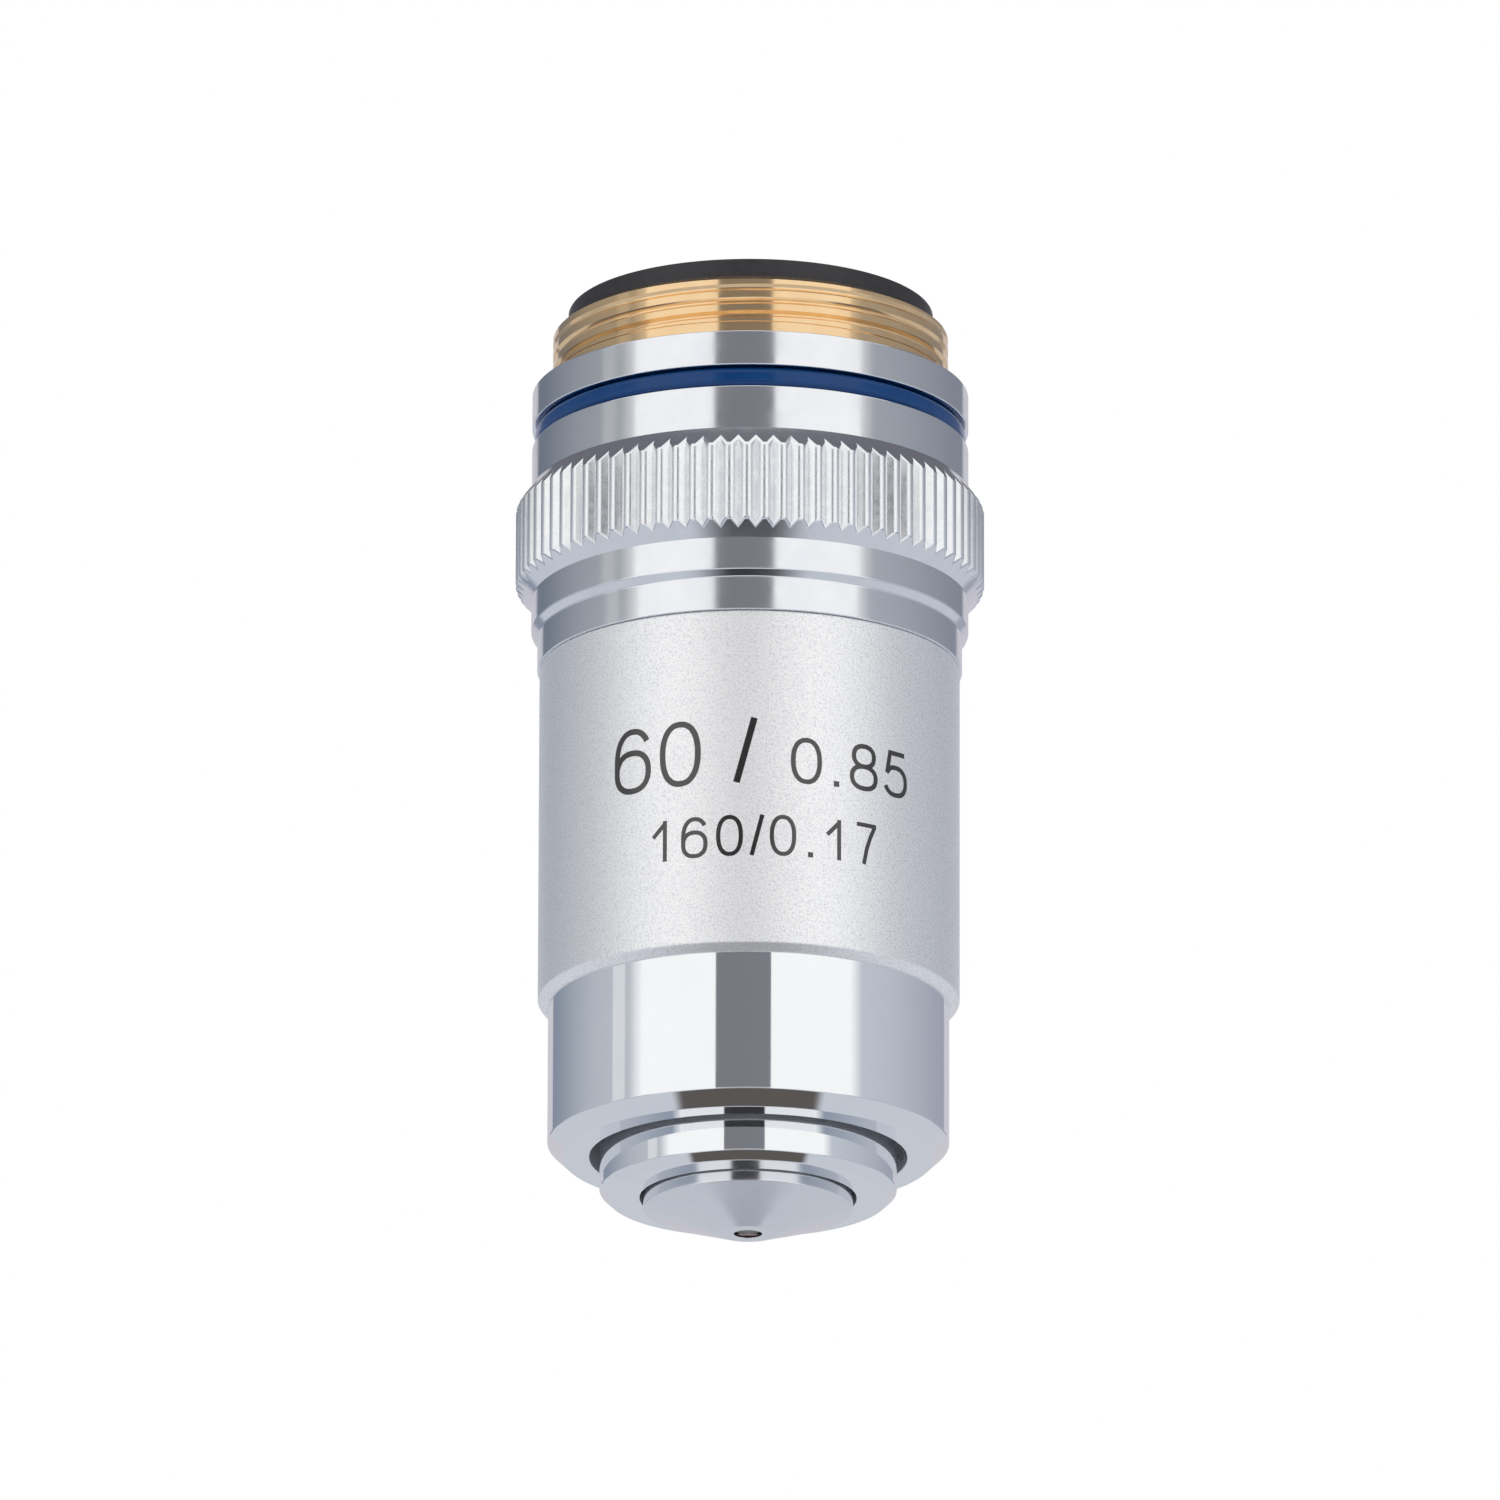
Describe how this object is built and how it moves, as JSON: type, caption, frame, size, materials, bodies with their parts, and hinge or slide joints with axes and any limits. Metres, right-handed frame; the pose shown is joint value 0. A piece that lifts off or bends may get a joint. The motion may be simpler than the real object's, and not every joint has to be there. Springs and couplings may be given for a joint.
{
  "type": "microscope objective",
  "caption": "Microscope objective: screw-in collar with a knurled grip and a coloured ring, matt barrel, polished front sleeve and a spring-loaded nose that holds the lenses.",
  "frame": {"origin": "centre of the locating shoulder, on the optical axis, where the objective seats in the nosepiece", "axes": "+Z along the optical axis towards the mounting thread, -Z towards the specimen, +Y to the guide screw, so that the numbers on the barrel face -Y"},
  "size_m": [0.024, 0.024, 0.049],
  "materials": {
    "polished_chrome": "turned brass, polished and chrome plated",
    "satin_chrome": "bead blasted, then chrome plated to a fine matt grain",
    "bare_brass": "turned, left bare",
    "blue_enamel": "glossy, coloured through",
    "black_oxide": "turned brass, chemically blackened to a low sheen",
    "spring_steel": "drawn wire and turned steel",
    "crown_glass": "ground, polished and coated",
    "flint_glass": "ground and polished"
  },
  "bodies": {
    "casing": {"mount_collar": "polished_chrome", "colour_ring": "blue_enamel", "outer_barrel": "satin_chrome", "front_sleeve": "polished_chrome", "rear_ring": "black_oxide", "return_spring": "spring_steel", "guide_screw": "spring_steel"},
    "lens_group": {"lens_tube": "polished_chrome", "spring_washer": "bare_brass", "front_cell": "polished_chrome", "front_lens": "crown_glass", "second_cell": "black_oxide", "second_lens": "crown_glass", "front_spacer": "black_oxide", "middle_cell": "black_oxide", "middle_flint": "flint_glass", "middle_crown": "crown_glass", "rear_spacer": "black_oxide", "rear_cell": "black_oxide", "rear_flint": "flint_glass", "rear_crown": "crown_glass", "lens_retainer": "black_oxide"}
  },
  "joints": [
    {"name": "nose_retract", "type": "slide", "parent": "casing", "child": "lens_group", "axis": [0, 0, 1], "range_m": [0, 0.002], "stiffness_N_per_m": 600, "springref_m": -0.005, "deforming": ["return_spring"]}
  ]
}
